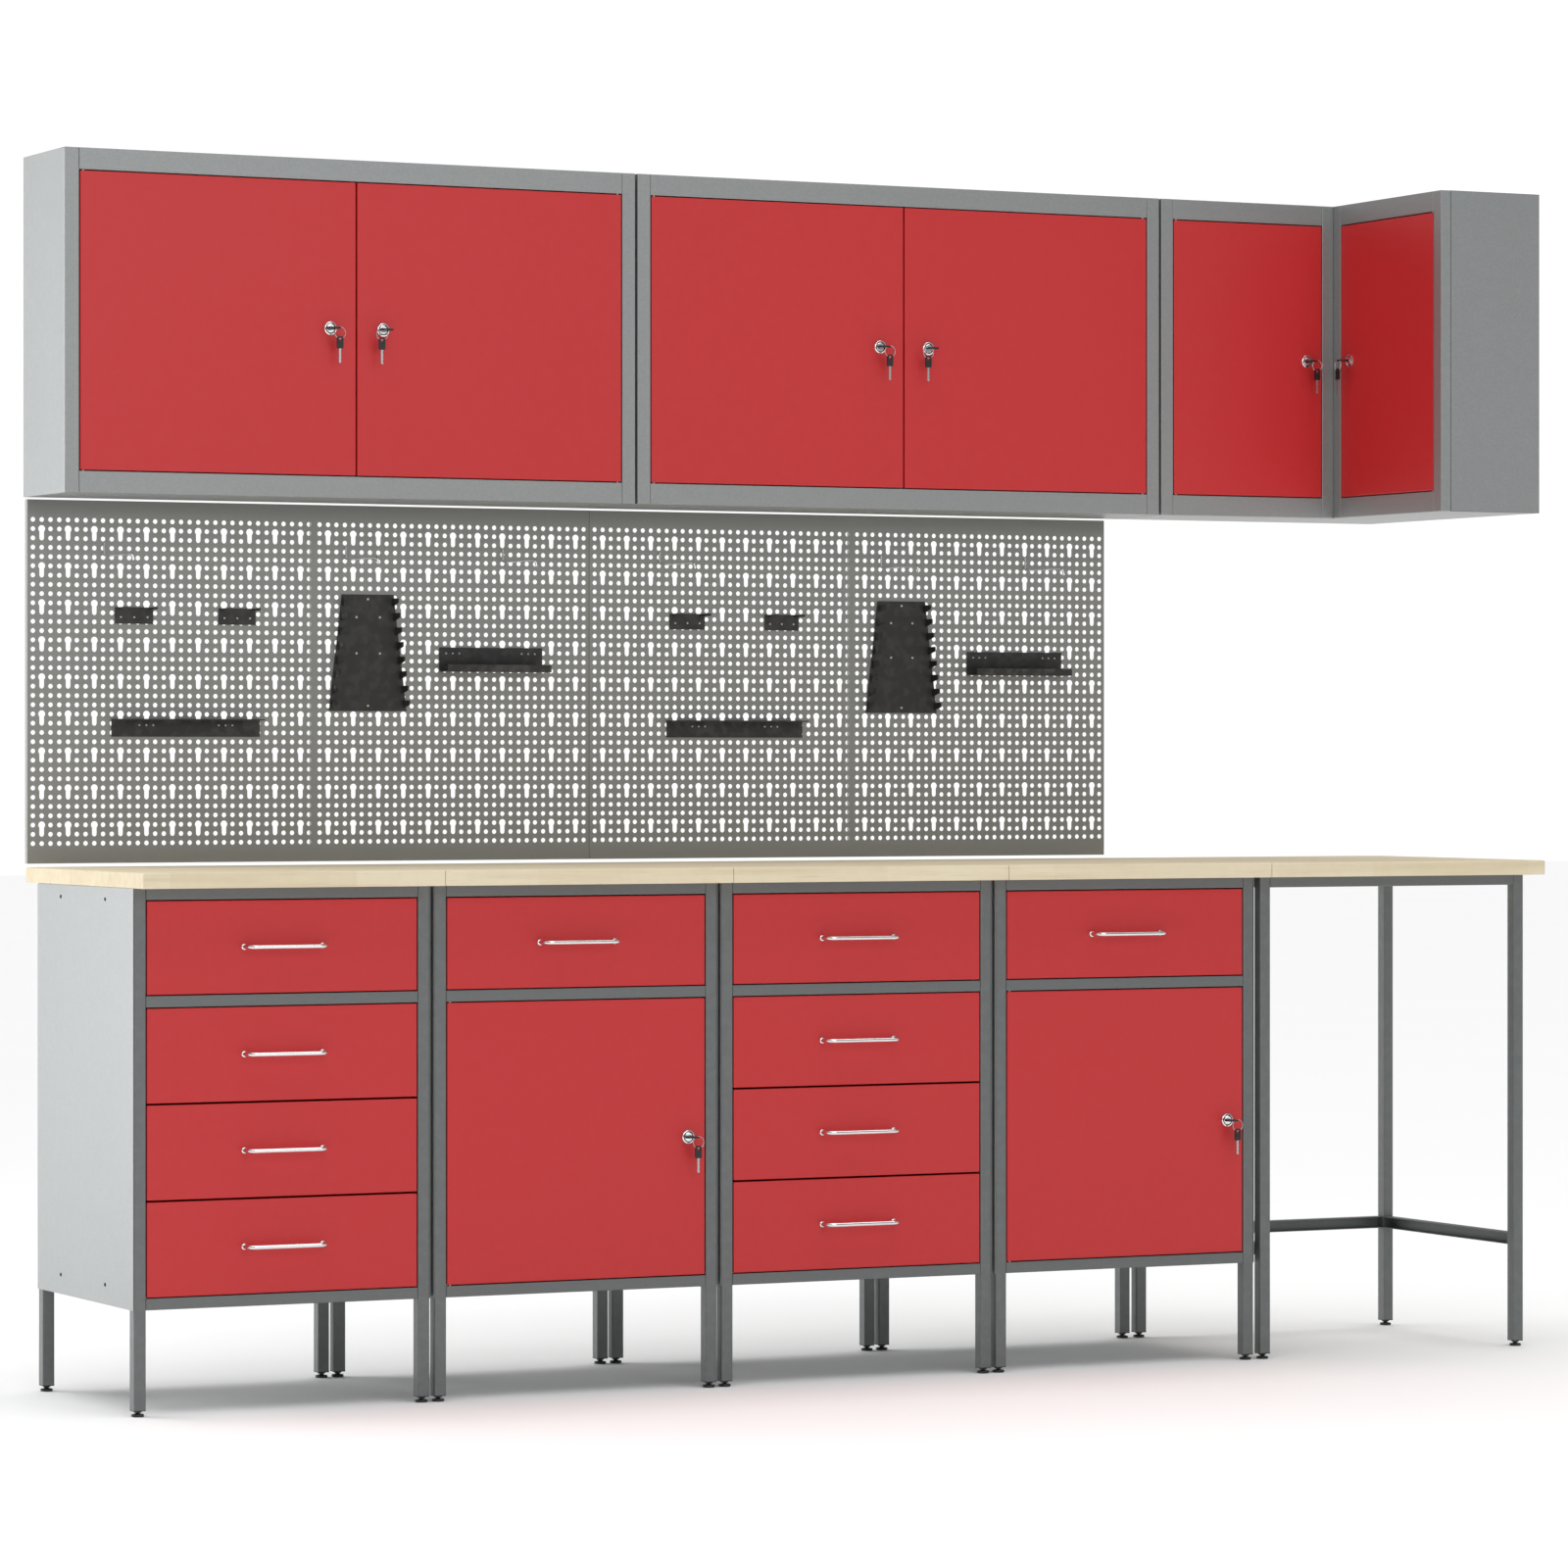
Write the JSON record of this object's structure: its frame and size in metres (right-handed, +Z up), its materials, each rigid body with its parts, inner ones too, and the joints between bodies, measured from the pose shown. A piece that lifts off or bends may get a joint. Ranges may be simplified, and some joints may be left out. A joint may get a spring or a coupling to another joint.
{
  "type": "workbench with drawers",
  "caption": "Workshop bench of drawer and door cabinets with an open table end, perforated tool boards above it and lockable wall cabinets, one of them L-shaped for a corner.",
  "frame": {"origin": "on the floor at the middle of the whole set's box", "axes": "+X along the bench to the right as seen from the front, +Y to the wall, +Z up"},
  "size_m": [2.566, 0.579, 1.9885],
  "materials": {
    "frame_paint": "fine textured grey powder coat",
    "panel_paint": "fine textured light grey powder coat",
    "red_paint": "smooth satin red powder coat",
    "board_paint": "satin dark grey powder coat",
    "worktop_wood": "light wood, clear satin",
    "chrome": "polished",
    "steel": "zinc plated",
    "black_plastic": "moulded",
    "black_paint": "satin black powder coat"
  },
  "bodies": {
    "bench_and_wall_set": {"cabinet_1_frame": "frame_paint", "cabinet_1_shell": "panel_paint", "cabinet_2_frame": "frame_paint", "cabinet_2_shell": "panel_paint", "cabinet_3_frame": "frame_paint", "cabinet_3_shell": "panel_paint", "cabinet_4_frame": "frame_paint", "cabinet_4_shell": "panel_paint", "table_frame": "frame_paint", "worktop_1": "worktop_wood", "worktop_2": "worktop_wood", "worktop_3": "worktop_wood", "worktop_4": "worktop_wood", "worktop_5": "worktop_wood", "cabinet_2_shelf": "panel_paint", "cabinet_4_shelf": "panel_paint", "wall_cabinet_1_shelf": "panel_paint", "wall_cabinet_1_carcase": "panel_paint", "perforated_board_1": "board_paint", "wall_cabinet_2_shelf": "panel_paint", "wall_cabinet_2_carcase": "panel_paint", "perforated_board_2": "board_paint", "corner_cabinet_carcase": "panel_paint"},
    "cabinet_1_drawer_1": {"cabinet_1_drawer_1": "red_paint", "cabinet_1_drawer_1_handle": "chrome"},
    "cabinet_1_drawer_2": {"cabinet_1_drawer_2": "red_paint", "cabinet_1_drawer_2_handle": "chrome"},
    "cabinet_1_drawer_3": {"cabinet_1_drawer_3": "red_paint", "cabinet_1_drawer_3_handle": "chrome"},
    "cabinet_1_drawer_4": {"cabinet_1_drawer_4": "red_paint", "cabinet_1_drawer_4_handle": "chrome"},
    "cabinet_2_drawer_1": {"cabinet_2_drawer_1": "red_paint", "cabinet_2_drawer_1_handle": "chrome"},
    "cabinet_3_drawer_1": {"cabinet_3_drawer_1": "red_paint", "cabinet_3_drawer_1_handle": "chrome"},
    "cabinet_3_drawer_2": {"cabinet_3_drawer_2": "red_paint", "cabinet_3_drawer_2_handle": "chrome"},
    "cabinet_3_drawer_3": {"cabinet_3_drawer_3": "red_paint", "cabinet_3_drawer_3_handle": "chrome"},
    "cabinet_3_drawer_4": {"cabinet_3_drawer_4": "red_paint", "cabinet_3_drawer_4_handle": "chrome"},
    "cabinet_4_drawer_1": {"cabinet_4_drawer_1": "red_paint", "cabinet_4_drawer_1_handle": "chrome"},
    "cabinet_2_door": {"cabinet_2_door": "red_paint"},
    "cabinet_2_lock": {"cabinet_2_lock": "chrome"},
    "cabinet_4_door": {"cabinet_4_door": "red_paint"},
    "cabinet_4_lock": {"cabinet_4_lock": "chrome"},
    "wall_cabinet_1_left_door": {"wall_cabinet_1_left_door": "red_paint"},
    "wall_cabinet_1_left_lock": {"wall_cabinet_1_left_lock": "chrome"},
    "wall_cabinet_1_right_door": {"wall_cabinet_1_right_door": "red_paint"},
    "wall_cabinet_1_right_lock": {"wall_cabinet_1_right_lock": "chrome"},
    "wall_cabinet_2_left_door": {"wall_cabinet_2_left_door": "red_paint"},
    "wall_cabinet_2_left_lock": {"wall_cabinet_2_left_lock": "chrome"},
    "wall_cabinet_2_right_door": {"wall_cabinet_2_right_door": "red_paint"},
    "wall_cabinet_2_right_lock": {"wall_cabinet_2_right_lock": "chrome"},
    "corner_cabinet_left_door": {"corner_cabinet_left_door": "red_paint"},
    "corner_cabinet_left_lock": {"corner_cabinet_left_lock": "chrome"},
    "corner_cabinet_right_door": {"corner_cabinet_right_door": "red_paint"},
    "corner_cabinet_right_lock": {"corner_cabinet_right_lock": "chrome"}
  },
  "joints": [
    {"name": "cabinet_1_drawer_1_slide", "type": "slide", "parent": "bench_and_wall_set", "child": "cabinet_1_drawer_1", "axis": [0, -1, 0], "range_m": [0, 0.33]},
    {"name": "cabinet_1_drawer_2_slide", "type": "slide", "parent": "bench_and_wall_set", "child": "cabinet_1_drawer_2", "axis": [0, -1, 0], "range_m": [0, 0.33]},
    {"name": "cabinet_1_drawer_3_slide", "type": "slide", "parent": "bench_and_wall_set", "child": "cabinet_1_drawer_3", "axis": [0, -1, 0], "range_m": [0, 0.33]},
    {"name": "cabinet_1_drawer_4_slide", "type": "slide", "parent": "bench_and_wall_set", "child": "cabinet_1_drawer_4", "axis": [0, -1, 0], "range_m": [0, 0.33]},
    {"name": "cabinet_2_drawer_1_slide", "type": "slide", "parent": "bench_and_wall_set", "child": "cabinet_2_drawer_1", "axis": [0, -1, 0], "range_m": [0, 0.33]},
    {"name": "cabinet_3_drawer_1_slide", "type": "slide", "parent": "bench_and_wall_set", "child": "cabinet_3_drawer_1", "axis": [0, -1, 0], "range_m": [0, 0.33]},
    {"name": "cabinet_3_drawer_2_slide", "type": "slide", "parent": "bench_and_wall_set", "child": "cabinet_3_drawer_2", "axis": [0, -1, 0], "range_m": [0, 0.33]},
    {"name": "cabinet_3_drawer_3_slide", "type": "slide", "parent": "bench_and_wall_set", "child": "cabinet_3_drawer_3", "axis": [0, -1, 0], "range_m": [0, 0.33]},
    {"name": "cabinet_3_drawer_4_slide", "type": "slide", "parent": "bench_and_wall_set", "child": "cabinet_3_drawer_4", "axis": [0, -1, 0], "range_m": [0, 0.33]},
    {"name": "cabinet_4_drawer_1_slide", "type": "slide", "parent": "bench_and_wall_set", "child": "cabinet_4_drawer_1", "axis": [0, -1, 0], "range_m": [0, 0.33]},
    {"name": "cabinet_2_door_hinge", "type": "hinge", "parent": "bench_and_wall_set", "child": "cabinet_2_door", "pos_m": [-0.7481, -0.2315, 0.4065], "axis": [0, 0, -1], "range_deg": [0, 90]},
    {"name": "cabinet_2_lock_turn", "type": "hinge", "parent": "cabinet_2_door", "child": "cabinet_2_lock", "pos_m": [-0.3329, -0.2355, 0.406], "axis": [0, 1, 0], "range_deg": [0, 90]},
    {"name": "cabinet_4_door_hinge", "type": "hinge", "parent": "bench_and_wall_set", "child": "cabinet_4_door", "pos_m": [0.2579, -0.2315, 0.4065], "axis": [0, 0, -1], "range_deg": [0, 90]},
    {"name": "cabinet_4_lock_turn", "type": "hinge", "parent": "cabinet_4_door", "child": "cabinet_4_lock", "pos_m": [0.6731, -0.2355, 0.406], "axis": [0, 1, 0], "range_deg": [0, 90]},
    {"name": "wall_cabinet_1_left_door_hinge", "type": "hinge", "parent": "bench_and_wall_set", "child": "wall_cabinet_1_left_door", "pos_m": [-1.2434, 0.0935, 1.7135], "axis": [0, 0, -1], "range_deg": [0, 90]},
    {"name": "wall_cabinet_1_left_lock_turn", "type": "hinge", "parent": "wall_cabinet_1_left_door", "child": "wall_cabinet_1_left_lock", "pos_m": [-0.82125, 0.0895, 1.7135], "axis": [0, 1, 0], "range_deg": [0, 90]},
    {"name": "wall_cabinet_1_right_door_hinge", "type": "hinge", "parent": "bench_and_wall_set", "child": "wall_cabinet_1_right_door", "pos_m": [-0.3066, 0.0935, 1.7135], "axis": [0, 0, 1], "range_deg": [0, 90]},
    {"name": "wall_cabinet_1_right_lock_turn", "type": "hinge", "parent": "wall_cabinet_1_right_door", "child": "wall_cabinet_1_right_lock", "pos_m": [-0.72875, 0.0895, 1.7135], "axis": [0, -1, 0], "range_deg": [0, 90]},
    {"name": "wall_cabinet_2_left_door_hinge", "type": "hinge", "parent": "bench_and_wall_set", "child": "wall_cabinet_2_left_door", "pos_m": [-0.2394, 0.0935, 1.7135], "axis": [0, 0, -1], "range_deg": [0, 90]},
    {"name": "wall_cabinet_2_left_lock_turn", "type": "hinge", "parent": "wall_cabinet_2_left_door", "child": "wall_cabinet_2_left_lock", "pos_m": [0.18275, 0.0895, 1.7135], "axis": [0, 1, 0], "range_deg": [0, 90]},
    {"name": "wall_cabinet_2_right_door_hinge", "type": "hinge", "parent": "bench_and_wall_set", "child": "wall_cabinet_2_right_door", "pos_m": [0.6974, 0.0935, 1.7135], "axis": [0, 0, 1], "range_deg": [0, 90]},
    {"name": "wall_cabinet_2_right_lock_turn", "type": "hinge", "parent": "wall_cabinet_2_right_door", "child": "wall_cabinet_2_right_lock", "pos_m": [0.27525, 0.0895, 1.7135], "axis": [0, -1, 0], "range_deg": [0, 90]},
    {"name": "corner_cabinet_left_door_hinge", "type": "hinge", "parent": "bench_and_wall_set", "child": "corner_cabinet_left_door", "pos_m": [0.7646, 0.0935, 1.7135], "axis": [0, 0, -1], "range_deg": [0, 90]},
    {"name": "corner_cabinet_left_lock_turn", "type": "hinge", "parent": "corner_cabinet_left_door", "child": "corner_cabinet_left_lock", "pos_m": [1.0284, 0.0895, 1.7135], "axis": [0, 1, 0], "range_deg": [0, 90]},
    {"name": "corner_cabinet_right_door_hinge", "type": "hinge", "parent": "bench_and_wall_set", "child": "corner_cabinet_right_door", "pos_m": [1.087, -0.2289, 1.7135], "axis": [0, 0, 1], "range_deg": [0, 90]},
    {"name": "corner_cabinet_right_lock_turn", "type": "hinge", "parent": "corner_cabinet_right_door", "child": "corner_cabinet_right_lock", "pos_m": [1.083, 0.0349, 1.7135], "axis": [-1, 0, 0], "range_deg": [0, 90]}
  ]
}
